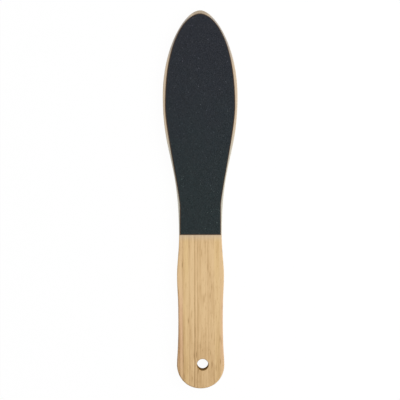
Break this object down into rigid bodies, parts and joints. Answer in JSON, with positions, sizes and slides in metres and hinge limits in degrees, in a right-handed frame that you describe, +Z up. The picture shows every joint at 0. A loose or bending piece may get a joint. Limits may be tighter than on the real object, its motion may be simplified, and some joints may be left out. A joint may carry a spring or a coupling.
{
  "type": "foot file",
  "caption": "Flat wooden paddle foot file with a coarse abrasive sheet glued to one face of its head, a fine one to the other, and a hanging hole near the handle's end.",
  "frame": {"origin": "on the surface that the file lies on, under the middle of its length and width", "axes": "+X across the file to the right, +Y along it towards the rounded tip of the head, +Z up through its thickness, out of the coarse face"},
  "size_m": [0.0524, 0.265, 0.0093],
  "materials": {
    "wood": "sanded smooth, unvarnished",
    "adhesive": "clear amber, tacky",
    "backing": "brown kraft paper",
    "coarse_grit": "coarse grains bonded with dark resin",
    "fine_grit": "fine grains bonded with dark resin"
  },
  "bodies": {
    "root": {"paddle": "wood", "coarse_adhesive": "adhesive", "coarse_backing": "backing", "coarse_grit": "coarse_grit", "fine_adhesive": "adhesive", "fine_backing": "backing", "fine_grit": "fine_grit"}
  },
  "joints": []
}
